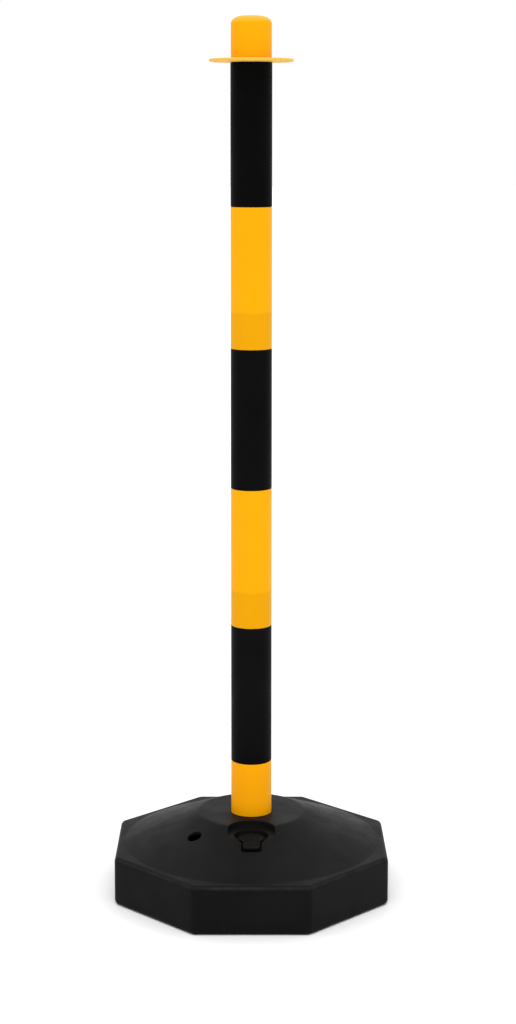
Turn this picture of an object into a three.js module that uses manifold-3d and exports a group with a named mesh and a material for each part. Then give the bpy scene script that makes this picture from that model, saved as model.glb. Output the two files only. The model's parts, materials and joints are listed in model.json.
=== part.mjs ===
// Plastic chain stanchion: a hollow octagonal foot, a post of six tube sections that plug
// into each other, a chain ring and an end cap. Millimetres, +Z up, the front faces -Y.
// The origin is on the floor, on the axis of the post.
import * as THREE from 'three';
import { mergeVertices } from 'three/addons/utils/BufferGeometryUtils.js';
import Module from 'manifold-3d';

const wasm = await Module();
wasm.setup();

// ---- driving dimensions ----
const GAP = 0.3; // clearance between pieces that touch
const WALL = 3; // wall of the tank
const TUBE_WALL = 2; // wall of the post sections and the cap

const TOTAL_HEIGHT = 900;
const BASE_WIDTH = 280; // across the flats of the octagon
const RIM_HEIGHT = 50; // height of the octagon's straight sides
const RIM_FILLET = 5;
const FOOT_FILLET = 5;
const CORNER_RADIUS = 9;

const CONE_RADIUS = 133; // foot of the cone, on top of the rim
const HUB_RADIUS = 55; // flat disc round the post
const HUB_HEIGHT = 81;
const HUB_FILLET = 2;

const POST_RADIUS = 21;
const SPIGOT_RADIUS = POST_RADIUS - TUBE_WALL - GAP;
const SPIGOT_LENGTH = 40;
const CAP_SPIGOT_LENGTH = 32; // spigot of the top section, inside the cap
const SOCKET_FLOOR = 6; // floor of the post's socket
const FIRST_SHOULDER = HUB_HEIGHT + 55; // top of the lowest section
const SECTION_PITCH = 143.6;
const SECTION_COUNT = 6;

const RING_RADIUS = 42.5;
const RING_ZONE = 4; // height between the top section and the cap
const RING_HUB = 23.5; // radius of the ring's thicker middle
const RING_RECESS = 0.4; // how far the web lies under the middle, on both faces
const RING_EDGE = 1; // chamfer of the ring's outer edge
const EYE_COUNT = 4;
const EYE_RADIUS = 6.5;
const EYE_CIRCLE = 32.5; // the eyes' distance from the axis
const CAP_RADIUS = 20.5;
const CAP_CROWN_WIDTH = 12; // the cap's rounded top edge, wider than high
const CAP_CROWN_HEIGHT = 8;
const CAP_CORNER = 5; // cut corner of its ceiling, under the crown

const POCKET_RADIUS = 24; // round pocket of the filler, sunk into the hub and the cone
const POCKET_CENTRE = 57.5; // its distance from the axis
const POCKET_DEPTH = 6;
const SEAT_RADIUS = 17; // deeper step in the pocket, where the plug lies
const SEAT_DEPTH = 11;
const FILLER_CENTRE = 61; // distance of the seat, the neck and the plug from the axis
const NECK_RADIUS = 11;
const PLUG_RADIUS = 13;
const PLUG_THICKNESS = 2;
const PLUG_SHANK = 14; // length of the part inside the neck
const TAB_WIDTH = 17;
const TAB_START = 72; // the tab's two ends, from the axis
const TAB_END = 85;
const TAB_THICKNESS = 4;
const TAB_PROUD = 0.8; // how far the tab stands above the cone
const NOTCH_MARGIN = 1.2; // space beside and under the tab
const NOTCH_FRONT = 3.5; // space for a fingertip before the tab's tip

const VENT_RADIUS = 7;
const VENT_PLACE = [-58, -54];

const TUBE_SIDES = 48;
const DISC_SIDES = 64;

// ---- values worked out from them ----
const RIM_RADIUS = BASE_WIDTH / 2;
const CONE_SLOPE = (HUB_HEIGHT - RIM_HEIGHT) / (CONE_RADIUS - HUB_RADIUS);
const CONE_ANGLE = Math.atan(CONE_SLOPE);
const INNER_FILLET = FOOT_FILLET - WALL;
const FLOOR_INSET = FOOT_FILLET + WALL; // edge of the opening that the floor fills
const POCKET_FLOOR = HUB_HEIGHT - POCKET_DEPTH;
const SEAT_FLOOR = HUB_HEIGHT - SEAT_DEPTH;
const TAB_UNDERSIDE = TAB_PROUD - TAB_THICKNESS;
const BORE_RADIUS = POST_RADIUS - TUBE_WALL;
const RING_TOP = FIRST_SHOULDER + (SECTION_COUNT - 1) * SECTION_PITCH + RING_ZONE;

const blackTank = new THREE.MeshStandardMaterial({ color: 0x1d1d1e, roughness: 0.55, metalness: 0 });
const blackTube = new THREE.MeshStandardMaterial({ color: 0x131314, roughness: 0.4, metalness: 0 });
const yellowTube = new THREE.MeshStandardMaterial({ color: 0xfbb010, roughness: 0.4, metalness: 0 });

const stanchion = new THREE.Group();

// ---- solids ----
function solid(geometry) {
  const bare = geometry.clone();
  bare.deleteAttribute('normal');
  bare.deleteAttribute('uv');
  const merged = mergeVertices(bare, 1e-4);
  return new wasm.Manifold(new wasm.Mesh({
    numProp: 3,
    vertProperties: new Float32Array(merged.attributes.position.array),
    triVerts: new Uint32Array(merged.index.array),
  }));
}

function geometryOf(manifold) {
  const mesh = manifold.getMesh();
  const geometry = new THREE.BufferGeometry();
  geometry.setAttribute('position', new THREE.BufferAttribute(mesh.vertProperties, 3));
  geometry.setIndex(new THREE.BufferAttribute(mesh.triVerts, 1));
  geometry.computeVertexNormals();
  return geometry;
}

// A closed outline of [radius, height] pairs turned about Z. It starts and ends on the axis.
function turned(points, sides) {
  const outline = points.map(([radius, height]) => new THREE.Vector2(radius, height));
  return new THREE.LatheGeometry(outline, sides).rotateX(Math.PI / 2);
}

function cylinder(radius, bottom, top, x = 0, y = 0, sides = TUBE_SIDES) {
  const points = [[0, bottom], [radius, bottom], [radius, top], [0, top]];
  return solid(turned(points, sides).translate(x, y, 0));
}

// A box that lies along the cone at the front: it starts at distance `from` from the axis and
// ends at `to`, between two heights measured square to the cone's surface.
function boxOnCone(width, from, to, low, high) {
  const length = (to - from) / Math.cos(CONE_ANGLE);
  const box = new THREE.BoxGeometry(width, length, high - low);
  box.translate(0, -length / 2, (high + low) / 2);
  box.rotateX(CONE_ANGLE);
  box.translate(0, -from, coneHeight(from));
  return solid(box);
}

function coneHeight(radius) {
  return HUB_HEIGHT - (radius - HUB_RADIUS) * CONE_SLOPE;
}

function add(name, geometry, material) {
  const mesh = new THREE.Mesh(geometry, material);
  mesh.name = name;
  stanchion.add(mesh);
}

// ---- foot ----
// Octagon with rounded corners and two flats square to Y. `inset` moves its sides inwards.
function octagon(inset) {
  const flat = RIM_RADIUS - inset;
  const corner = flat / Math.cos(Math.PI / 8);
  const reach = CORNER_RADIUS * Math.tan(Math.PI / 8);
  const shape = new THREE.Shape();
  for (let k = 0; k < 8; k += 1) {
    const angle = (k + 0.5) * (Math.PI / 4);
    const tip = new THREE.Vector2(corner * Math.cos(angle), corner * Math.sin(angle));
    const before = new THREE.Vector2(Math.sin(angle - Math.PI / 8), -Math.cos(angle - Math.PI / 8));
    const after = new THREE.Vector2(-Math.sin(angle + Math.PI / 8), Math.cos(angle + Math.PI / 8));
    const start = tip.clone().addScaledVector(before, reach);
    const end = tip.clone().addScaledVector(after, reach);
    if (k === 0) {
      shape.moveTo(start.x, start.y);
    } else {
      shape.lineTo(start.x, start.y);
    }
    shape.quadraticCurveTo(tip.x, tip.y, end.x, end.y);
  }
  shape.closePath();
  return shape;
}

function slab(inset, bottom, top, fillet) {
  const options = {
    depth: top - bottom - 2 * fillet,
    bevelEnabled: fillet > 0,
    bevelSize: fillet,
    bevelThickness: fillet,
    bevelSegments: 3,
    curveSegments: 3,
  };
  const extruded = new THREE.ExtrudeGeometry(octagon(inset + fillet), options);
  return solid(extruded.translate(0, 0, bottom + fillet));
}

// The cone and the flat hub, moved inwards by `inset`.
function dome(inset, bottom) {
  const sideways = inset * (1 - Math.cos(CONE_ANGLE)) / Math.sin(CONE_ANGLE);
  const hub = HUB_RADIUS - sideways;
  const foot = CONE_RADIUS - sideways;
  const points = [
    [0, bottom],
    [foot, bottom],
    [foot, RIM_HEIGHT - inset],
    [hub + HUB_FILLET, HUB_HEIGHT - inset - HUB_FILLET * CONE_SLOPE],
    [hub - HUB_FILLET, HUB_HEIGHT - inset],
    [0, HUB_HEIGHT - inset],
  ];
  return solid(turned(points, DISC_SIDES));
}

// The upper shell: straight sides, cone and hub. The floor fills the opening underneath.
function buildTank() {
  const middle = RIM_HEIGHT / 2;
  const outside = slab(0, 0, middle + FOOT_FILLET, FOOT_FILLET)
    .add(slab(0, middle - RIM_FILLET, RIM_HEIGHT, RIM_FILLET))
    .add(dome(0, middle));
  const hollow = slab(WALL, WALL, RIM_HEIGHT - WALL, INNER_FILLET)
    .add(slab(FLOOR_INSET, -WALL, middle, 0))
    .add(dome(WALL, middle))
    .subtract(buildPocket(WALL));
  return outside
    .subtract(hollow)
    .subtract(buildPocket(0))
    .subtract(cylinder(POST_RADIUS + GAP, middle, TOTAL_HEIGHT))
    .subtract(cylinder(NECK_RADIUS, middle, TOTAL_HEIGHT, 0, -FILLER_CENTRE))
    .subtract(cylinder(VENT_RADIUS, middle, TOTAL_HEIGHT, ...VENT_PLACE, TUBE_SIDES / 2));
}

// The room of the pocket, of the plug's seat and round the pull tab. `extra` moves its sides
// and floors outwards.
function buildPocket(extra) {
  const notchWidth = TAB_WIDTH + 2 * (NOTCH_MARGIN + extra);
  const notchEnd = TAB_END + NOTCH_FRONT + extra;
  const notchFloor = TAB_UNDERSIDE - NOTCH_MARGIN - extra;
  return cylinder(POCKET_RADIUS + extra, POCKET_FLOOR - extra, TOTAL_HEIGHT, 0, -POCKET_CENTRE)
    .add(cylinder(SEAT_RADIUS + extra, SEAT_FLOOR - extra, TOTAL_HEIGHT, 0, -FILLER_CENTRE))
    .add(boxOnCone(notchWidth, FILLER_CENTRE, notchEnd, notchFloor, SEAT_DEPTH));
}

// The cup between the floor and the hub that holds the post.
function buildSocket() {
  const bore = POST_RADIUS + GAP;
  return cylinder(bore + WALL, WALL + GAP, HUB_HEIGHT - WALL - GAP)
    .subtract(cylinder(bore, SOCKET_FLOOR, HUB_HEIGHT));
}

// A disc on the seat with a hollow shank in the neck. The tab lies along the cone before it.
function buildPlug() {
  const seat = SEAT_FLOOR + GAP;
  const shank = NECK_RADIUS - GAP;
  return cylinder(PLUG_RADIUS, seat, seat + PLUG_THICKNESS, 0, -FILLER_CENTRE)
    .add(boxOnCone(TAB_WIDTH, TAB_START, TAB_END, TAB_UNDERSIDE, TAB_PROUD))
    .add(cylinder(shank, seat - PLUG_SHANK, seat + PLUG_THICKNESS / 2, 0, -FILLER_CENTRE))
    .subtract(cylinder(shank - TUBE_WALL, 0, seat - TUBE_WALL, 0, -FILLER_CENTRE));
}

// ---- post ----
// A tube with a spigot on top, from `bottom` up to its `shoulder`. The outline closes on itself.
function sectionGeometry(bottom, shoulder, spigotLength) {
  const tip = shoulder + spigotLength;
  const spigotBore = SPIGOT_RADIUS - TUBE_WALL;
  return turned([
    [BORE_RADIUS, bottom],
    [POST_RADIUS, bottom],
    [POST_RADIUS, shoulder],
    [SPIGOT_RADIUS, shoulder],
    [SPIGOT_RADIUS, tip - 1],
    [SPIGOT_RADIUS - 1, tip],
    [spigotBore, tip],
    [spigotBore, shoulder - TUBE_WALL - 3],
    [BORE_RADIUS, shoulder - TUBE_WALL - 6],
    [BORE_RADIUS, bottom],
  ], TUBE_SIDES);
}

function buildRing() {
  const bottom = RING_TOP - RING_ZONE + GAP;
  const webBottom = bottom + RING_RECESS;
  const webTop = RING_TOP - RING_RECESS;
  let ring = solid(turned([
    [0, bottom],
    [RING_HUB, bottom],
    [RING_HUB, webBottom],
    [RING_RADIUS - RING_EDGE, webBottom],
    [RING_RADIUS, webBottom + RING_EDGE],
    [RING_RADIUS, webTop - RING_EDGE],
    [RING_RADIUS - RING_EDGE, webTop],
    [RING_HUB, webTop],
    [RING_HUB, RING_TOP],
    [0, RING_TOP],
  ], DISC_SIDES)).subtract(cylinder(SPIGOT_RADIUS + GAP, bottom - 1, RING_TOP + 1));
  for (let k = 0; k < EYE_COUNT; k += 1) {
    const angle = (k * 2 * Math.PI) / EYE_COUNT;
    const x = EYE_CIRCLE * Math.cos(angle);
    const y = EYE_CIRCLE * Math.sin(angle);
    ring = ring.subtract(cylinder(EYE_RADIUS, bottom - 1, RING_TOP + 1, x, y, TUBE_SIDES / 2));
  }
  return ring;
}

function capGeometry() {
  const bottom = RING_TOP + GAP;
  const ceiling = TOTAL_HEIGHT - WALL;
  const bore = SPIGOT_RADIUS + GAP;
  const points = [
    [0, ceiling],
    [bore - CAP_CORNER, ceiling],
    [bore, ceiling - CAP_CORNER],
    [bore, bottom],
    [CAP_RADIUS, bottom],
  ];
  const steps = 6;
  for (let k = 0; k <= steps; k += 1) {
    const angle = (k * Math.PI) / (2 * steps);
    const radius = CAP_RADIUS - CAP_CROWN_WIDTH * (1 - Math.cos(angle));
    points.push([radius, TOTAL_HEIGHT - CAP_CROWN_HEIGHT * (1 - Math.sin(angle))]);
  }
  points.push([0, TOTAL_HEIGHT]);
  return turned(points, TUBE_SIDES);
}

add('base_tank', geometryOf(buildTank()), blackTank);
add('base_floor', geometryOf(slab(FLOOR_INSET + GAP, 0, WALL, 0)), blackTank);
add('post_socket', geometryOf(buildSocket()), blackTank);
add('filler_plug', geometryOf(buildPlug()), blackTank);
for (let k = 0; k < SECTION_COUNT; k += 1) {
  const shoulder = FIRST_SHOULDER + k * SECTION_PITCH;
  const bottom = k === 0 ? SOCKET_FLOOR + GAP : shoulder - SECTION_PITCH + GAP;
  const spigotLength = k === SECTION_COUNT - 1 ? CAP_SPIGOT_LENGTH : SPIGOT_LENGTH;
  const material = k % 2 === 0 ? yellowTube : blackTube;
  add(`post_section_${k + 1}`, sectionGeometry(bottom, shoulder, spigotLength), material);
}
add('chain_ring', geometryOf(buildRing()), yellowTube);
add('end_cap', capGeometry(), yellowTube);

export default stanchion;
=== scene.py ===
"""Looks of the plastic chain stanchion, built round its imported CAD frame.

Everything is in metres in the CAD frame: +Z up, the front faces -Y, the origin is on the floor
on the axis of the post. MM turns the millimetres of the drawing into metres.
"""

import json
import math

import bmesh
import bpy
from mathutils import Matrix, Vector
from mathutils.geometry import delaunay_2d_cdt

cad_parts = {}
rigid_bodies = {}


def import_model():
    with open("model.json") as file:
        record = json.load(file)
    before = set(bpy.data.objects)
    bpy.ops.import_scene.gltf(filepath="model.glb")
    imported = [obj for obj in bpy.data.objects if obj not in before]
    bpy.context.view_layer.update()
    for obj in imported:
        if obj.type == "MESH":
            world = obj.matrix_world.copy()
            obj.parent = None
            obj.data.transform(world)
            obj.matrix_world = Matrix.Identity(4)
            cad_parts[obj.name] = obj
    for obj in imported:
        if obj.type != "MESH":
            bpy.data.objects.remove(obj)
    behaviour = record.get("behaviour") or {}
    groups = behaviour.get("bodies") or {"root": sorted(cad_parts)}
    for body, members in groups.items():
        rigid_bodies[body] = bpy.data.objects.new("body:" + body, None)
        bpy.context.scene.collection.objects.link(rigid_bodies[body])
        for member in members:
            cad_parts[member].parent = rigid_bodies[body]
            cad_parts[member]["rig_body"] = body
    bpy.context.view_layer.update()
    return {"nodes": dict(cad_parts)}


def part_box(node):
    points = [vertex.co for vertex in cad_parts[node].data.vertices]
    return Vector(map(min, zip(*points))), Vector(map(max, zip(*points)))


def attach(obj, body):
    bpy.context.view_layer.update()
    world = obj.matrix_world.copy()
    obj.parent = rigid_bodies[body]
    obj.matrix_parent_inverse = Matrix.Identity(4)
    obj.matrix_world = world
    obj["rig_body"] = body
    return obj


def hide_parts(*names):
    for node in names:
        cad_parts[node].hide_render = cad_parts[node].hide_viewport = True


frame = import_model()

MM = 0.001
TAU = 2 * math.pi

# ---- the tank ----
WALL = 3 * MM
GAP = 0.3 * MM
RIM_HEIGHT = 50 * MM
RIM_FILLET = 5 * MM
FOOT_FILLET = 5 * MM
INNER_FILLET = FOOT_FILLET - WALL
CORNER_RADIUS = 9 * MM
LEAST_CORNER = 1.5 * MM  # radius that the octagon's corners keep however far it moves inwards
CORNER_STEPS = 8
SIDE_STEPS = 20
CONE_RADIUS = 133 * MM
HUB_RADIUS = 55 * MM
HUB_BLEND = 0.8 * MM  # reach in height of the rounding at the hub's edge
CONE_BLEND = 0.6 * MM  # the same at the foot of the cone
SOCKET_FLOOR = 6 * MM
SOCKET_FILLET = 1.2 * MM
POCKET_CENTRE = Vector((0, -57.5 * MM))
POCKET_RADIUS = 24 * MM
POCKET_DEPTH = 6 * MM
FILLER_CENTRE = Vector((0, -61 * MM))  # axis of the seat, the neck and the plug
SEAT_RADIUS = 17 * MM
SEAT_DEPTH = 11 * MM
NECK_RADIUS = 11 * MM
NECK_FILLET = 0.5 * MM
VENT_CENTRE = Vector((-58 * MM, -54 * MM))
VENT_RADIUS = 7 * MM
VENT_FILLET = 0.8 * MM
NOTCH_HALF_WIDTH = 9.7 * MM
NOTCH_START = 66 * MM  # distances of the notch's two ends from the axis
NOTCH_END = 88.5 * MM
NOTCH_DEPTH = 4.7 * MM
NOTCH_CORNER = 2 * MM
STEP_HALF_WIDTH = 0.8 * MM  # half the width of a moulded wall, seen from above
NECK_SIDES = 72
VENT_SIDES = 48
RECESS_SIDES = 96
# radii in millimetres of the circles that the skins follow, closer where the slope changes
TOP_CIRCLES = (
    *(30, 38, 46, 50, 52, 53, 54, 55, 56, 57, 58, 60, 64, 70, 78, 86, 94, 102, 110, 118, 125),
    *(129, 130.5, 131.5, 132.3, 133, 133.7),
)
UNDERSIDE_CIRCLES = (30, 60, 90, 120)

# ---- the filler plug ----
PLUG_THICKNESS = 2 * MM
PLUG_BORDER = 1.8 * MM  # width of the raised borders of disc and tab
PLUG_RECESS = 0.4 * MM  # depth of the panels inside the borders
PLUG_SHANK_RADIUS = NECK_RADIUS - GAP
PLUG_SHANK_WALL = 2 * MM
PLUG_SIDES = 96
PLUG_SOFTNESS = 0.6 * MM
TAB_HALF_WIDTH = 8.5 * MM
TAB_START = 72 * MM  # distances of the tab's two ends from the axis
TAB_END = 85 * MM
TAB_THICKNESS = 4 * MM
TAB_PROUD = 0.8 * MM
TAB_CORNER = 2.5 * MM

# ---- the post ----
TUBE_WALL = 2 * MM
SPIGOT_LENGTH = 40 * MM
CAP_SPIGOT_LENGTH = 32 * MM  # spigot of the top section, inside the cap
TAPER_TOP = 5 * MM  # depths below the shoulder between which the bore widens
TAPER_BOTTOM = 8 * MM
EDGE = 0.5 * MM  # rounding of the ends of the sections and of the cap's mouth
CAP_CROWN_WIDTH = 12 * MM  # the cap's rounded top edge, wider than high
CAP_CROWN_HEIGHT = 8 * MM
CAP_CROWN_STEPS = 12
CAP_CORNER = 5 * MM  # cut corner of its ceiling, under the crown
CAP_TOP_WALL = 3 * MM
CAP_CENTRE = 4 * MM  # radius of the flat disc that closes the cap's top
EYE_COUNT = 4
EYE_RADIUS = 6.5 * MM
EYE_CIRCLE = 32.5 * MM
EYE_SIDES = 48
RING_HUB = 23.5 * MM
RING_HUB_CHAMFER = 0.25 * MM  # across, at the edge of the thicker middle
RING_HUB_DROP = 0.08 * MM  # down, at the same edge
RING_RECESS = 0.4 * MM
RING_EDGE = 1.2 * MM
RING_SOFTNESS = 0.5 * MM
SECTION_COUNT = 6
SIDES = 160  # sides of everything turned about the axis
ROUNDING_STEPS = 3

tank_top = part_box("base_tank")[1]
HUB_HEIGHT = tank_top.z
RIM_RADIUS = tank_top.x
POCKET_FLOOR = HUB_HEIGHT - POCKET_DEPTH
SEAT_FLOOR = HUB_HEIGHT - SEAT_DEPTH
CONE_SLOPE = (HUB_HEIGHT - RIM_HEIGHT) / (CONE_RADIUS - HUB_RADIUS)
POST_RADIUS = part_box("post_section_1")[1].x
SPIGOT_RADIUS = POST_RADIUS - TUBE_WALL - GAP
SOCKET_RADIUS = POST_RADIUS + GAP


# ---------------------------------------------------------------- mesh helpers
class Builder:
    """Collects faces and joins the vertices that meet into one mesh."""

    def __init__(self):
        self.mesh = bmesh.new()

    def face(self, points):
        self.mesh.faces.new([self.mesh.verts.new(p) for p in points])

    def loft(self, rows):
        """Quads between rows of equally many points. Each row is a closed loop."""
        for lower, upper in zip(rows, rows[1:]):
            count = len(lower)
            for k in range(count):
                n = (k + 1) % count
                corners = [lower[k], lower[n], upper[n], upper[k]]
                kept = [p for i, p in enumerate(corners) if (p - corners[i - 1]).length > 1e-7]
                if len(kept) > 2:
                    self.face(kept)

    def skin(self, boundary, holes, lines, height):
        """Triangles over a flat outline, lifted to height(x, y), that follow the given lines."""
        points, edges = [], []
        for loop in [boundary, *holes, *lines]:
            start = len(points)
            points += [Vector((p.x, p.y)) for p in loop]
            edges += [(start + k, start + (k + 1) % len(loop)) for k in range(len(loop))]
        flat, _, triangles, *_ = delaunay_2d_cdt(points, edges, [], 0, 1e-7)
        for triangle in triangles:
            corners = [flat[k] for k in triangle]
            centre = sum(corners, Vector((0, 0))) / 3
            if not inside(centre, boundary) or any(inside(centre, hole) for hole in holes):
                continue
            self.face([Vector((p.x, p.y, height(p.x, p.y))) for p in corners])

    def build(self, name, sharp_angle=40):
        bmesh.ops.remove_doubles(self.mesh, verts=self.mesh.verts, dist=2e-6)
        bmesh.ops.dissolve_degenerate(self.mesh, edges=self.mesh.edges, dist=1e-7)
        bmesh.ops.recalc_face_normals(self.mesh, faces=self.mesh.faces)
        data = bpy.data.meshes.new(name)
        self.mesh.to_mesh(data)
        self.mesh.free()
        data.shade_smooth()
        data.set_sharp_from_angle(angle=math.radians(sharp_angle))
        piece = bpy.data.objects.new(name, data)
        bpy.context.scene.collection.objects.link(piece)
        weighted = piece.modifiers.new("even_flats", "WEIGHTED_NORMAL")
        weighted.keep_sharp = True
        return piece


def inside(point, loop):
    """Whether a flat point is inside a closed loop of points."""
    found = False
    for a, b in zip(loop, [*loop[1:], loop[0]]):
        if (a.y > point.y) != (b.y > point.y):
            if point.x < a.x + (point.y - a.y) * (b.x - a.x) / (b.y - a.y):
                found = not found
    return found


def circle(radius, sides, centre=Vector((0, 0))):
    turns = [k * TAU / sides for k in range(sides)]
    return [Vector((centre.x + radius * math.cos(t), centre.y + radius * math.sin(t))) for t in turns]


def raised(loop, height):
    """A flat loop at one height, or at height(x, y)."""
    level = height if callable(height) else lambda x, y: height
    return [Vector((p.x, p.y, level(p.x, p.y))) for p in loop]


def flat_at(level):
    """A height(x, y) that is the same everywhere."""
    return lambda x, y: level


def octagon(inset):
    """The tank's outline with rounded corners, moved inwards by inset. It has flats square to Y."""
    flat = RIM_RADIUS - inset
    radius = max(CORNER_RADIUS - inset, LEAST_CORNER)
    centre = (flat - radius) / math.cos(math.pi / 8)
    loop = []
    for k in range(8):
        middle = (k + 0.5) * math.pi / 4
        base = Vector((centre * math.cos(middle), centre * math.sin(middle)))
        for step in range(CORNER_STEPS + 1):
            turn = middle + (step / CORNER_STEPS - 0.5) * math.pi / 4
            loop.append(base + radius * Vector((math.cos(turn), math.sin(turn))))
        after = middle + math.pi / 4
        end = Vector((centre * math.cos(after), centre * math.sin(after)))
        turn = middle + math.pi / 8
        first = loop[-1]
        last = end + radius * Vector((math.cos(turn), math.sin(turn)))
        loop += [first.lerp(last, step / SIDE_STEPS) for step in range(1, SIDE_STEPS)]
    return loop


def quarter(steps):
    """(along, across) of a quarter circle of radius 1, from (0, 0) to (1, 1)."""
    turns = [k * math.pi / 2 / steps for k in range(steps + 1)]
    return [(math.sin(t), 1 - math.cos(t)) for t in turns]


def turned(name, outline):
    """A closed outline of (radius, height) pairs turned about Z."""
    builder = Builder()
    rows = [raised(circle(radius, SIDES), height) for radius, height in [*outline, outline[0]]]
    builder.loft(rows)
    return builder.build(name)


def rounded(outline, reach):
    """The outline with its marked corners rounded. A point is (radius, height, rounded or not)."""
    points = []
    count = len(outline)
    for k, (r, z, soft) in enumerate(outline):
        here = Vector((r, z))
        if not soft:
            points.append((r, z))
            continue
        before = Vector(outline[k - 1][:2])
        after = Vector(outline[(k + 1) % count][:2])
        start = here + (before - here).normalized() * reach
        end = here + (after - here).normalized() * reach
        for step in range(ROUNDING_STEPS + 1):
            t = step / ROUNDING_STEPS
            point = start * (1 - t) ** 2 + here * 2 * t * (1 - t) + end * t**2
            points.append((point.x, point.y))
    return points


# ---------------------------------------------------------------- the tank
def soft_min(a, b, reach):
    """The lower of two heights, rounded where they cross."""
    near = max(reach - abs(a - b), 0) / reach
    return min(a, b) - near * near * reach / 4


def blend(distance):
    """1 inside a recess, 0 outside it, smooth across its wall. The distance is to its outline."""
    t = min(max(0.5 - distance / (2 * STEP_HALF_WIDTH), 0), 1)
    return t * t * (3 - 2 * t)


def body_height(radius, inset):
    """The hub, the cone and the rim, moved inwards by inset."""
    slant = inset / math.cos(math.atan(CONE_SLOPE))
    cone = HUB_HEIGHT - (radius - HUB_RADIUS) * CONE_SLOPE - slant
    top = soft_min(HUB_HEIGHT - inset, cone, HUB_BLEND)
    return -soft_min(-top, -(RIM_HEIGHT - inset), CONE_BLEND)


def notch_distance(x, y, grown):
    """Distance outside the notch's rounded rectangle."""
    middle = -(NOTCH_START + NOTCH_END) / 2
    half = (NOTCH_END - NOTCH_START) / 2
    across = abs(x) - (NOTCH_HALF_WIDTH - NOTCH_CORNER)
    along = abs(y - middle) - (half - NOTCH_CORNER)
    outer = math.hypot(max(across, 0), max(along, 0))
    return outer + min(max(across, along), 0) - NOTCH_CORNER - grown


ROUND_RECESSES = (
    (POCKET_CENTRE, POCKET_RADIUS, POCKET_FLOOR),
    (FILLER_CENTRE, SEAT_RADIUS, SEAT_FLOOR),
)


def tank_height(x, y, inset):
    """The tank's top with its two round recesses and the notch, moved inwards by inset."""
    height = body_height(math.hypot(x, y), inset)
    for centre, radius, floor in ROUND_RECESSES:
        outside = math.dist((x, y), centre) - radius - inset
        height -= blend(outside) * max(height - (floor - inset), 0)
    notch_floor = HUB_HEIGHT - (math.hypot(x, y) - HUB_RADIUS) * CONE_SLOPE - NOTCH_DEPTH - inset
    height -= blend(notch_distance(x, y, inset)) * max(height - notch_floor, 0)
    return height


def notch_line(distance):
    """The line at a distance outside the notch's rectangle."""
    radius = NOTCH_CORNER + distance
    corners = [
        (NOTCH_HALF_WIDTH, -NOTCH_START, 0),
        (-NOTCH_HALF_WIDTH, -NOTCH_START, 1),
        (-NOTCH_HALF_WIDTH, -NOTCH_END, 2),
        (NOTCH_HALF_WIDTH, -NOTCH_END, 3),
    ]
    loop = []
    for x, y, quarter_turn in corners:
        centre = Vector((x - math.copysign(NOTCH_CORNER, x), y))
        centre.y += NOTCH_CORNER if quarter_turn > 1 else -NOTCH_CORNER
        for step in range(7):
            turn = (quarter_turn + step / 6) * math.pi / 2
            loop.append(centre + radius * Vector((math.cos(turn), math.sin(turn))))
    return [p for k, p in enumerate(loop) if (p - loop[k - 1]).length > 1e-6]


def tank_lines(inset):
    """The lines that a skin follows: circles round the axis, and the walls of the recesses."""
    lines = [circle(radius * MM, SIDES) for radius in TOP_CIRCLES]
    steps = [k / 4 * STEP_HALF_WIDTH for k in range(-4, 5)]
    for centre, radius, _ in ROUND_RECESSES:
        lines += [circle(radius + inset + step, RECESS_SIDES, centre) for step in steps]
    lines += [notch_line(inset + step) for step in steps]
    return lines


def add_hole(builder, centre, radius, fillet, sides, top, bottom):
    """The rounded mouth and the wall of a hole between two skins. Returns its two outlines."""
    mouth = circle(radius + fillet, sides, centre)
    rows = []
    for along, across in quarter(4):
        ring = circle(radius + fillet * (1 - along), sides, centre)
        rows.append([
            Vector((p.x, p.y, top(m.x, m.y) - fillet * across)) for p, m in zip(ring, mouth)
        ])
    wall = circle(radius, sides, centre)
    rows.append(raised(wall, bottom))
    builder.loft(rows)
    return mouth, wall


def outer_top(x, y):
    return tank_height(x, y, 0)


def inner_top(x, y):
    return tank_height(x, y, WALL)


def side_rows(top_edge, top, inset, top_fillet, foot_fillet, steps):
    """Rows from a skin's top edge, down the sides of the tank and round to its underside."""
    rows = [raised(top_edge, top)]
    for along, across in quarter(steps)[1:]:
        outline = octagon(inset + top_fillet * (1 - along))
        rows.append(raised(outline, RIM_HEIGHT - inset - top_fillet * across))
    for along, across in quarter(steps):
        outline = octagon(inset + foot_fillet * across)
        rows.append(raised(outline, inset + foot_fillet * (1 - along)))
    return rows


def add_outer_skin(builder, holes):
    """The top, the sides and the underside of the tank."""
    top_edge = octagon(RIM_FILLET)
    socket_mouth = circle(SOCKET_RADIUS + SOCKET_FILLET, SIDES)
    builder.skin(top_edge, [socket_mouth, *holes], tank_lines(0), outer_top)
    builder.loft(side_rows(top_edge, outer_top, 0, RIM_FILLET, FOOT_FILLET, 6))
    under_lines = [circle(radius * MM, SIDES) for radius in UNDERSIDE_CIRCLES]
    builder.skin(octagon(FOOT_FILLET), [], under_lines, flat_at(0))


def add_socket(builder):
    """The socket of the post, from its rounded mouth to its floor."""
    rows = []
    for along, across in quarter(4):
        ring = circle(SOCKET_RADIUS + SOCKET_FILLET * (1 - along), SIDES)
        rows.append(raised(ring, HUB_HEIGHT - SOCKET_FILLET * across))
    floor_edge = circle(SOCKET_RADIUS, SIDES)
    rows.append(raised(floor_edge, SOCKET_FLOOR))
    builder.loft(rows)
    builder.skin(floor_edge, [], [circle(SOCKET_RADIUS / 2, SIDES)], flat_at(SOCKET_FLOOR))


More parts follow.
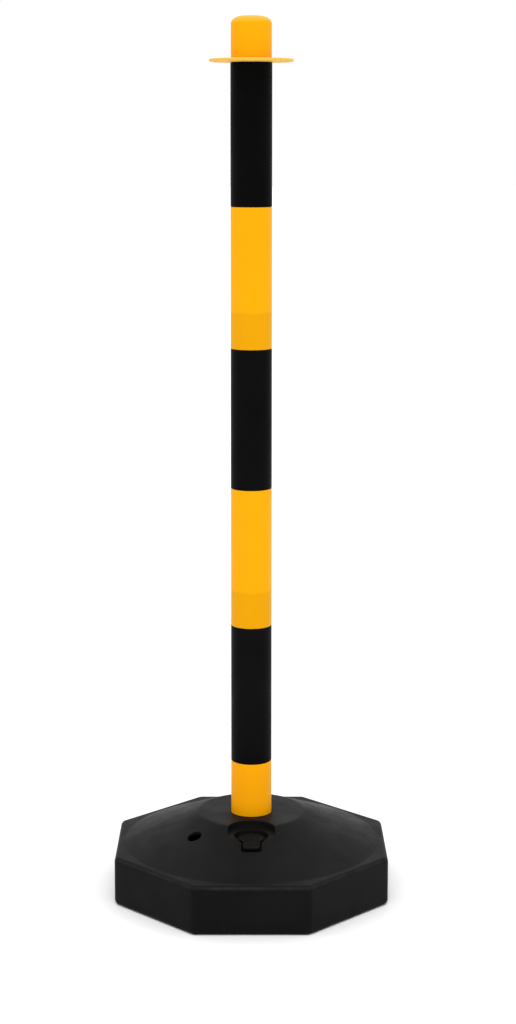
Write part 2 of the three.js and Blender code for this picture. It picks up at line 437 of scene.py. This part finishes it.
def add_inner_skin(builder, holes):
    """The walls of the hollow inside, which runs round the socket."""
    edge = octagon(WALL + INNER_FILLET)
    tube_edge = circle(SOCKET_RADIUS + WALL, SIDES)
    builder.skin(edge, [tube_edge, *holes], tank_lines(WALL), inner_top)
    builder.loft(side_rows(edge, inner_top, WALL, INNER_FILLET, INNER_FILLET, 3))
    builder.skin(edge, [tube_edge], [], flat_at(WALL))
    builder.loft([raised(tube_edge, inner_top), raised(tube_edge, WALL)])


def build_tank():
    """A closed hollow shell with the post socket, the filler neck and the vent."""
    builder = Builder()
    neck_mouth, neck_wall = add_hole(
        builder, FILLER_CENTRE, NECK_RADIUS, NECK_FILLET, NECK_SIDES, outer_top, inner_top
    )
    vent_mouth, vent_wall = add_hole(
        builder, VENT_CENTRE, VENT_RADIUS, VENT_FILLET, VENT_SIDES, outer_top, inner_top
    )
    add_outer_skin(builder, [neck_mouth, vent_mouth])
    add_socket(builder)
    add_inner_skin(builder, [neck_wall, vent_wall])
    return builder.build("tank_shell")


# ---------------------------------------------------------------- the filler plug
def build_plug():
    """A disc with a hollow shank, joined to the pull tab before it."""
    return joined("plug_with_tab", build_plug_body(), build_tab())


def build_plug_body():
    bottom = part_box("filler_plug")[0].z
    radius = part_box("filler_plug")[1].x
    seat = SEAT_FLOOR + GAP
    top = seat + PLUG_THICKNESS
    bore = PLUG_SHANK_RADIUS - PLUG_SHANK_WALL
    ceiling = seat - PLUG_SHANK_WALL
    soft = PLUG_SOFTNESS
    outline = [
        (bore - soft, ceiling),
        (bore, ceiling - soft),
        (bore, bottom + soft),
        (bore + soft, bottom),
        (PLUG_SHANK_RADIUS - soft, bottom),
        (PLUG_SHANK_RADIUS, bottom + soft),
        (PLUG_SHANK_RADIUS, seat),
        (radius - soft, seat),
        (radius, seat + soft),
    ]
    for along, across in quarter(4):
        outline.append((radius - soft * across, top - soft * (1 - along)))
    panel = radius - PLUG_BORDER
    for along, across in quarter(4):
        outline.append((panel - PLUG_RECESS * along, top - PLUG_RECESS * across))
    builder = Builder()
    builder.loft([raised(circle(r, PLUG_SIDES, FILLER_CENTRE), z) for r, z in outline])
    for r, z in (outline[0], outline[-1]):
        builder.skin(circle(r, PLUG_SIDES, FILLER_CENTRE), [], [], flat_at(z))
    return builder.build("plug_body")


def tab_outline(length, inset):
    """The tab's outline with a rounded tip, moved inwards by inset. Y runs towards the tip."""
    half = TAB_HALF_WIDTH - inset
    radius = TAB_CORNER - inset
    loop = [Vector((half, inset))]
    for side, first in ((1, 0), (-1, 1)):
        centre = Vector((side * (half - radius), length - inset - radius))
        for step in range(7):
            turn = (first + step / 6) * math.pi / 2
            loop.append(centre + radius * Vector((math.cos(turn), math.sin(turn))))
    loop.append(Vector((-half, inset)))
    return loop


def build_tab():
    """A flat strip with a sunken panel that lies along the cone."""
    angle = math.atan(CONE_SLOPE)
    length = (TAB_END - TAB_START) / math.cos(angle)
    start = HUB_HEIGHT - (TAB_START - HUB_RADIUS) * CONE_SLOPE

    def laid(inset, height):
        points = []
        for p in tab_outline(length, inset):
            ahead = TAB_START + p.y * math.cos(angle) + height * math.sin(angle)
            up = start - p.y * math.sin(angle) + height * math.cos(angle)
            points.append(Vector((p.x, -ahead, up)))
        return points

    soft = PLUG_SOFTNESS
    underside = TAB_PROUD - TAB_THICKNESS
    rows = [laid(soft * (1 - along), underside + soft * across) for along, across in quarter(3)]
    rows += [laid(soft * across, TAB_PROUD - soft * (1 - along)) for along, across in quarter(3)]
    rows.append(laid(PLUG_BORDER - PLUG_RECESS, TAB_PROUD))
    rows.append(laid(PLUG_BORDER, TAB_PROUD - PLUG_RECESS))
    builder = Builder()
    builder.loft(rows)
    builder.face(rows[0])
    builder.face(rows[-1])
    return builder.build("tab")


def joined(name, first, second):
    """One closed mesh of two that overlap."""
    union = first.modifiers.new("union", "BOOLEAN")
    union.operation = "UNION"
    union.solver = "EXACT"
    union.object = second
    first.modifiers.remove(first.modifiers["even_flats"])
    graph = bpy.context.evaluated_depsgraph_get()
    data = bpy.data.meshes.new_from_object(first.evaluated_get(graph))
    bpy.data.objects.remove(first)
    bpy.data.objects.remove(second)
    builder = Builder()
    builder.mesh.from_mesh(data)
    return builder.build(name)


# ---------------------------------------------------------------- the post
def build_section(number):
    """A tube with a thinner spigot on top."""
    low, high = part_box(f"post_section_{number}")
    shoulder = high.z - (CAP_SPIGOT_LENGTH if number == SECTION_COUNT else SPIGOT_LENGTH)
    bore = POST_RADIUS - TUBE_WALL
    spigot_bore = SPIGOT_RADIUS - TUBE_WALL
    outline = [
        (bore, low.z, True),
        (POST_RADIUS, low.z, True),
        (POST_RADIUS, shoulder, True),
        (SPIGOT_RADIUS, shoulder, False),
        (SPIGOT_RADIUS, high.z, True),
        (spigot_bore, high.z, True),
        (spigot_bore, shoulder - TAPER_TOP, False),
        (bore, shoulder - TAPER_BOTTOM, False),
    ]
    return turned(f"section_{number}", rounded(outline, EDGE))


def build_cap():
    """The cup on top of the post."""
    low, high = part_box("end_cap")
    bore = SPIGOT_RADIUS + GAP
    ceiling = high.z - CAP_TOP_WALL
    outline = [
        (CAP_CENTRE, ceiling),
        (bore - CAP_CORNER, ceiling),
        (bore, ceiling - CAP_CORNER),
        (bore, low.z + EDGE),
        (bore + EDGE, low.z),
        (high.x - EDGE, low.z),
        (high.x, low.z + EDGE),
    ]
    for along, across in quarter(CAP_CROWN_STEPS):
        radius = high.x - CAP_CROWN_WIDTH * across
        outline.append((radius, high.z - CAP_CROWN_HEIGHT * (1 - along)))
    outline.append((CAP_CENTRE, high.z))
    builder = Builder()
    builder.loft([raised(circle(radius, SIDES), z) for radius, z in outline])
    for z in (high.z, ceiling):
        builder.skin(circle(CAP_CENTRE, SIDES), [], [], flat_at(z))
    return builder.build("cap_cup")


def build_ring():
    """The thin disc with its thicker middle and its eyes."""
    low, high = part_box("chain_ring")
    bore = SPIGOT_RADIUS + GAP
    middle = (low.z + high.z) / 2
    turns = [k * TAU / EYE_COUNT for k in range(EYE_COUNT)]
    eyes = [EYE_CIRCLE * Vector((math.cos(t), math.sin(t))) for t in turns]
    rim = high.x - RING_EDGE
    soft = RING_SOFTNESS
    builder = Builder()
    for top, side in ((high.z, -1), (low.z, 1)):
        web = top + side * RING_RECESS
        hub_edge = circle(RING_HUB, SIDES)
        builder.loft([
            raised(circle(bore, SIDES), middle),
            raised(circle(bore, SIDES), top + side * soft),
            raised(circle(bore + soft, SIDES), top),
            raised(circle(RING_HUB - RING_HUB_CHAMFER, SIDES), top),
            raised(hub_edge, top + side * RING_HUB_DROP),
            raised(hub_edge, web),
        ])
        mouths = [circle(EYE_RADIUS + soft, EYE_SIDES, eye) for eye in eyes]
        rim_lines = [circle(rim - distance * MM, SIDES) for distance in (1, 2)]
        builder.skin(circle(rim, SIDES), [hub_edge, *mouths], rim_lines, flat_at(web))
        builder.loft([
            raised(circle(rim + RING_EDGE * along, SIDES), web + side * RING_EDGE * across)
            for along, across in quarter(5)
        ])
        builder.loft([raised(circle(high.x, SIDES), z) for z in (web + side * RING_EDGE, middle)])
        for eye in eyes:
            rows = []
            for along, across in quarter(4):
                ring = circle(EYE_RADIUS + soft * (1 - along), EYE_SIDES, eye)
                rows.append(raised(ring, web + side * soft * across))
            rows.append(raised(circle(EYE_RADIUS, EYE_SIDES, eye), middle))
            builder.loft(rows)
    return builder.build("eyed_ring")


# ---------------------------------------------------------------- materials
YELLOW = (0.92, 0.39, 0.001)
YELLOW_SPIGOT_SHADE = (0.78, 0.345, 0.0005)  # painted shade where the spigot of the section below stands behind the thin wall
# painted shade: the lowest section's more orange tone, for the dimmer light near the black base
YELLOW_LOWEST_SHADE = (0.98, 0.395, 0.001)
# painted light: the thin ring is painted paler, for light shining through it
YELLOW_RING_LIT = (0.86, 0.49, 0.08)
# painted sheen: the paler yellow that the cap's rounded top fades up to
YELLOW_CROWN_SHEEN = (0.8, 0.42, 0.05)
YELLOW_DULLING = 0.98  # brightness of the clouds in the yellow
YELLOW_ROUGHNESS = (0.36, 0.48)
YELLOW_SPECULAR = 0.05
YELLOW_GRAIN = 0.012 * MM
YELLOW_STREAKS = 0.15 * MM  # depth of the slow waves along the tube
SPIGOT_SHADE_FADE = 5 * MM  # height over which the painted spigot shade fades out

RUB_BRIGHTNESS = 2.2  # of the rubs on black plastic, against its lighter colour
RIPPLE_DEPTH = 0.5 * MM
# painted highlight on the tank's rounded edges
EDGE_HIGHLIGHT_GREY = (0.012, 0.012, 0.0122)
EDGE_HIGHLIGHT_FADE = 1 * MM  # height over which the painted edge highlight ends
TANK_LOOK = {
    "dark": (0.003, 0.003, 0.0031),
    "light": (0.0045, 0.0045, 0.0046),
    "roughness": (0.46, 0.56),
    "specular": 0.064,
    "grain": 0.03 * MM,
    "highlight_below": RIM_HEIGHT + 1 * MM,
}
PLUG_LOOK = {
    "dark": (0.0045, 0.0045, 0.0046),
    "light": (0.0065, 0.0065, 0.0066),
    "roughness": (0.45, 0.55),
    "specular": 0.035,
    "grain": 0.02 * MM,
}
TUBE_LOOK = {
    "roughness": (0.38, 0.48),
    "specular": 0.02,
    "grain": 0.012 * MM,
}
TUBE_DARK = 0.0016
TUBE_LIGHT = 0.0026
TUBE_BOUNCE_STEP = 0.22  # painted light: how much greyer black plastic is painted for each section nearer to the floor, for light bounced off the floor


class Nodes:
    """A new material and short calls for its nodes."""

    def __init__(self, name):
        self.material = bpy.data.materials.new(name)
        self.material.use_nodes = True
        self.tree = self.material.node_tree
        self.shader = self.tree.nodes["Principled BSDF"]
        coordinates = self.add("ShaderNodeTexCoord")
        self.place = coordinates.outputs["Object"]
        self.normal = coordinates.outputs["Normal"]

    def add(self, kind, **values):
        node = self.tree.nodes.new(kind)
        for key, value in values.items():
            setattr(node, key, value)
        return node

    def link(self, source, target):
        self.tree.links.new(source, target)

    def noise(self, scale, detail=3.0, roughness=0.5, stretch=None):
        """Noise with about `scale` spots to a metre, stretched by three factors if they are given."""
        node = self.add("ShaderNodeTexNoise")
        node.inputs["Scale"].default_value = scale
        node.inputs["Detail"].default_value = detail
        node.inputs["Roughness"].default_value = roughness
        place = self.place
        if stretch:
            mapping = self.add("ShaderNodeMapping")
            mapping.inputs["Scale"].default_value = stretch
            self.link(place, mapping.inputs["Vector"])
            place = mapping.outputs["Vector"]
        self.link(place, node.inputs["Vector"])
        return node.outputs["Fac"]

    def spread(self, value, low, high, start=0.0, end=1.0):
        """The value, which runs from low to high, turned smoothly into start to end."""
        node = self.add("ShaderNodeMapRange", interpolation_type="SMOOTHSTEP")
        for key, number in zip(("From Min", "From Max", "To Min", "To Max"), (low, high, start, end)):
            node.inputs[key].default_value = number
        self.link(value, node.inputs["Value"])
        return node.outputs["Result"]

    def upward(self, vector):
        """How far a place is above the floor, or how much a normal points up."""
        parts = self.add("ShaderNodeSeparateXYZ")
        self.link(vector, parts.inputs["Vector"])
        return parts.outputs["Z"]

    def product(self, first, second):
        node = self.add("ShaderNodeMath", operation="MULTIPLY")
        self.link(first, node.inputs[0])
        self.link(second, node.inputs[1])
        return node.outputs["Value"]

    def rounded_edges(self):
        """1 where a wall is rounded into a top, 0 on walls, tops and gentle slopes."""
        facing_up = self.upward(self.normal)
        off_wall = self.spread(facing_up, low=0.15, high=0.45)
        off_top = self.spread(facing_up, low=0.72, high=0.9, start=1, end=0)
        return self.product(off_wall, off_top)

    def mix(self, share, first, second):
        """A colour between two, each a tuple or another node's colour."""
        node = self.add("ShaderNodeMix", data_type="RGBA")
        colors = [socket for socket in node.inputs if socket.type == "RGBA"]
        self.link(share, node.inputs["Factor"])
        for socket, color in zip(colors, (first, second)):
            if isinstance(color, tuple):
                socket.default_value = (*color, 1)
            else:
                self.link(color, socket)
        return next(socket for socket in node.outputs if socket.type == "RGBA")

    def bump(self, height, depth, below=None):
        """A bump this deep, in metres, on top of another one."""
        node = self.add("ShaderNodeBump")
        node.inputs["Distance"].default_value = depth
        self.link(height, node.inputs["Height"])
        if below is not None:
            self.link(below, node.inputs["Normal"])
        return node.outputs["Normal"]


def black_plastic(name, dark, light, roughness, specular, grain, highlight_below=None):
    """Moulded plastic: cloudy and rubbed in colour, uneven in gloss, grained and rippled.

    Below a given height, its rounded edges are painted a paler grey in patches: a painted highlight.
    """
    nodes = Nodes(name)
    shader = nodes.shader
    cloud = nodes.spread(nodes.noise(scale=11, detail=4), low=0.35, high=0.65)
    rubs = nodes.noise(scale=60, detail=5, roughness=0.7, stretch=(1, 1, 3))
    rubbed = nodes.spread(rubs, low=0.62, high=0.8, start=0, end=0.6)
    rub_color = tuple(RUB_BRIGHTNESS * channel for channel in light)
    color = nodes.mix(rubbed, nodes.mix(cloud, dark, light), rub_color)
    if highlight_below is not None:
        # painted highlight: below that height, rounded edges turn paler grey in random patches
        patches = nodes.spread(nodes.noise(scale=90, detail=4), low=0.35, high=0.6, start=0.35)
        height = nodes.upward(nodes.place)
        low_down = nodes.spread(height, highlight_below, highlight_below + EDGE_HIGHLIGHT_FADE, start=1, end=0)
        painted_highlight = nodes.product(nodes.product(nodes.rounded_edges(), patches), low_down)
        color = nodes.mix(painted_highlight, color, EDGE_HIGHLIGHT_GREY)
    nodes.link(color, shader.inputs["Base Color"])
    unevenness = nodes.noise(scale=35, detail=5, roughness=0.6)
    nodes.link(nodes.spread(unevenness, 0.3, 0.7, *roughness), shader.inputs["Roughness"])
    shader.inputs["Specular IOR Level"].default_value = specular
    ripple = nodes.bump(nodes.noise(scale=16, detail=1), RIPPLE_DEPTH)
    grained = nodes.bump(nodes.noise(scale=1500, detail=2), grain, ripple)
    nodes.link(grained, shader.inputs["Normal"])
    return nodes.material


def yellow_plastic(name, upper, lower=None, lower_to=0, fade=SPIGOT_SHADE_FADE):
    """Thin moulded plastic. It may have another colour up to a height, where that one fades out."""
    nodes = Nodes(name)
    shader = nodes.shader
    cloud = nodes.spread(nodes.noise(scale=18, detail=4), low=0.3, high=0.7)
    dulled = tuple(YELLOW_DULLING * channel for channel in upper)
    color = nodes.mix(cloud, upper, dulled)
    if lower is not None:
        height = nodes.upward(nodes.place)
        share = nodes.spread(height, lower_to - fade, lower_to, start=1, end=0)
        color = nodes.mix(share, color, lower)
    nodes.link(color, shader.inputs["Base Color"])
    unevenness = nodes.noise(scale=40, detail=5, roughness=0.6)
    nodes.link(nodes.spread(unevenness, 0.3, 0.7, *YELLOW_ROUGHNESS), shader.inputs["Roughness"])
    shader.inputs["Specular IOR Level"].default_value = YELLOW_SPECULAR
    streaks = nodes.noise(scale=30, detail=2, roughness=0.5, stretch=(1, 1, 0.15))
    streaked = nodes.bump(streaks, YELLOW_STREAKS)
    grained = nodes.bump(nodes.noise(scale=1800, detail=2), YELLOW_GRAIN, streaked)
    nodes.link(grained, shader.inputs["Normal"])
    return nodes.material


# ---------------------------------------------------------------- assembly
def place(piece, slot, material, *nodes):
    """The piece stands for these CAD nodes and takes their body. The slot is not used."""
    piece.data.materials.append(material)
    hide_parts(*nodes)
    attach(piece, frame["nodes"][nodes[0]]["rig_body"])


def black_tube(number):
    """The lower a black section is, the greyer it is painted: painted light bounced off the floor."""
    floor_bounce = 1 + TUBE_BOUNCE_STEP * (SECTION_COUNT - number)
    dark = 3 * (floor_bounce * TUBE_DARK,)
    light = 3 * (floor_bounce * TUBE_LIGHT,)
    return black_plastic(f"black_tube_{number}", dark, light, **TUBE_LOOK)


def yellow_tube(number):
    """A yellow section is painted darker as far up as the spigot of the section below reaches inside
    it, and the lowest one a more orange tone all over: both painted shade.
    """
    low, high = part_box(f"post_section_{number}")
    name = f"yellow_tube_{number}"
    if number == 1:
        return yellow_plastic(name, YELLOW, YELLOW_LOWEST_SHADE, high.z)
    return yellow_plastic(name, YELLOW, YELLOW_SPIGOT_SHADE, low.z + SPIGOT_LENGTH)


def add_foot():
    black_tank = black_plastic("black_tank", **TANK_LOOK)
    place(build_tank(), "black_tank", black_tank, "base_tank", "base_floor", "post_socket")
    place(build_plug(), "black_plug", black_plastic("black_plug", **PLUG_LOOK), "filler_plug")


def add_post():
    """Six sections, black where their number is even."""
    for number in range(1, SECTION_COUNT + 1):
        slot, material = "yellow_tube", yellow_tube
        if number % 2 == 0:
            slot, material = "black_tube", black_tube
        place(build_section(number), slot, material(number), f"post_section_{number}")


def add_top():
    # the ring's paler yellow is painted light
    place(build_ring(), "yellow_ring", yellow_plastic("yellow_ring", YELLOW_RING_LIT), "chain_ring")
    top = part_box("end_cap")[1].z
    # painted sheen: over the crown's height the cap fades up to a paler yellow
    yellow_cap = yellow_plastic("yellow_cap", YELLOW_CROWN_SHEEN, YELLOW, top, CAP_CROWN_HEIGHT)
    place(build_cap(), "yellow_tube", yellow_cap, "end_cap")


add_foot()
add_post()
add_top()


# ---------------------------------------------------------------- stage
FLOOR_SIZE = 60
FLOOR_WHITES = ((0.86, 0.86, 0.86), (0.88, 0.88, 0.88))
FLOOR_ROUGHNESS = 0.9
AMBIENT = 0.72  # light of the world on everything but the camera
# name, azimuth (0 is in front) and elevation in degrees, strength, spread in degrees
LIGHTS = (
    ("front_left", -50, 45, 0.2, 60),
    ("front_right", 55, 45, 0.3, 60),
    ("back_left", -135, 50, 0.2, 60),
    ("back_right", 135, 50, 0.2, 60),
    ("behind", 180, 22, 0.22, 50),
    ("above", 0, 88, 0.7, 90),
    ("front_above", 0, 64, 0.9, 25),
)
CAMERA_DISTANCE = 2.05
CAMERA_HEIGHT = 0.78
CAMERA_TILT = 7.392  # degrees below the horizon
CAMERA_LENS = 71.211  # millimetres
CAMERA_SENSOR = 36  # height in millimetres
CAMERA_SHIFT = (0.0065, -0.1094)


def build_floor():
    bpy.ops.mesh.primitive_plane_add(size=FLOOR_SIZE)
    floor = bpy.context.object
    floor.name = "floor"
    nodes = Nodes("floor_paint")
    cloud = nodes.spread(nodes.noise(scale=3, detail=3), low=0.3, high=0.7)
    nodes.link(nodes.mix(cloud, *FLOOR_WHITES), nodes.shader.inputs["Base Color"])
    nodes.shader.inputs["Roughness"].default_value = FLOOR_ROUGHNESS
    nodes.shader.inputs["Specular IOR Level"].default_value = 0
    floor.data.materials.append(nodes.material)


def build_world():
    """White where the camera looks past the floor, and a dimmer even light on everything else."""
    world = bpy.data.worlds.new("studio")
    bpy.context.scene.world = world
    world.use_nodes = True
    tree = world.node_tree
    light = tree.nodes["Background"]
    light.inputs["Strength"].default_value = AMBIENT
    seen = tree.nodes.new("ShaderNodeBackground")
    seen.inputs["Strength"].default_value = 1.0
    for background in (light, seen):
        background.inputs["Color"].default_value = (1, 1, 1, 1)
    path = tree.nodes.new("ShaderNodeLightPath")
    either = tree.nodes.new("ShaderNodeMixShader")
    tree.links.new(path.outputs["Is Camera Ray"], either.inputs["Fac"])
    tree.links.new(light.outputs[0], either.inputs[1])
    tree.links.new(seen.outputs[0], either.inputs[2])
    tree.links.new(either.outputs[0], tree.nodes["World Output"].inputs["Surface"])


def add_soft_light(name, azimuth, elevation, strength, spread):
    """A broad distant light."""
    data = bpy.data.lights.new(name, "SUN")
    data.energy = strength
    data.angle = math.radians(spread)
    lamp = bpy.data.objects.new(name, data)
    turn = math.radians(azimuth)
    rise = math.radians(elevation)
    level = math.cos(rise)
    source = Vector((math.sin(turn) * level, -math.cos(turn) * level, math.sin(rise)))
    lamp.rotation_euler = (-source).to_track_quat("-Z", "Y").to_euler()
    bpy.context.scene.collection.objects.link(lamp)


def build_camera():
    data = bpy.data.cameras.new("camera")
    data.sensor_fit = "VERTICAL"
    data.sensor_height = CAMERA_SENSOR
    data.lens = CAMERA_LENS
    data.shift_x, data.shift_y = CAMERA_SHIFT
    camera = bpy.data.objects.new("camera", data)
    camera.location = (0, -CAMERA_DISTANCE, CAMERA_HEIGHT)
    camera.rotation_euler = (math.radians(90 - CAMERA_TILT), 0, 0)
    bpy.context.scene.collection.objects.link(camera)
    bpy.context.scene.camera = camera


build_floor()
build_world()
for light in LIGHTS:
    add_soft_light(*light)
build_camera()
bpy.context.scene.view_settings.view_transform = "Standard"
